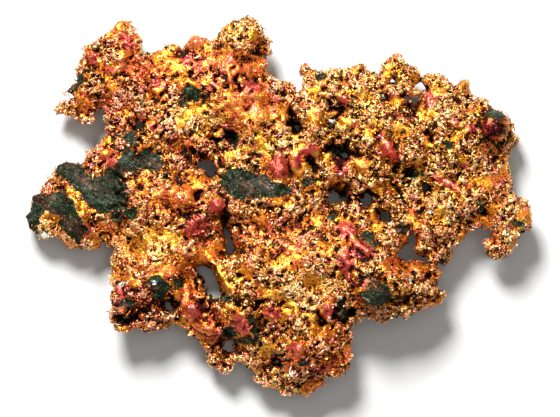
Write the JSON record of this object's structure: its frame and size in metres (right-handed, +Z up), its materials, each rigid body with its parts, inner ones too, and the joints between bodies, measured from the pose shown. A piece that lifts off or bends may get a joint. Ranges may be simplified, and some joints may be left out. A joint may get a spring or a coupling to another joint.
{
  "type": "native copper nugget",
  "caption": "Flat branching nugget of native copper with a ragged edge, hackly spongy surface and through holes, lying on its broad side.",
  "frame": {"origin": "centre of the footprint, on the surface that the nugget lies on", "axes": "+X along the longest side, +Z up through the thin side, +Y across"},
  "size_m": [0.0552, 0.0408, 0.0089],
  "materials": {
    "copper": "hackly native copper, bright orange and gold on the high grains, brown to black in the crevices"
  },
  "bodies": {
    "root": {"copper_nugget": "copper"}
  },
  "joints": []
}
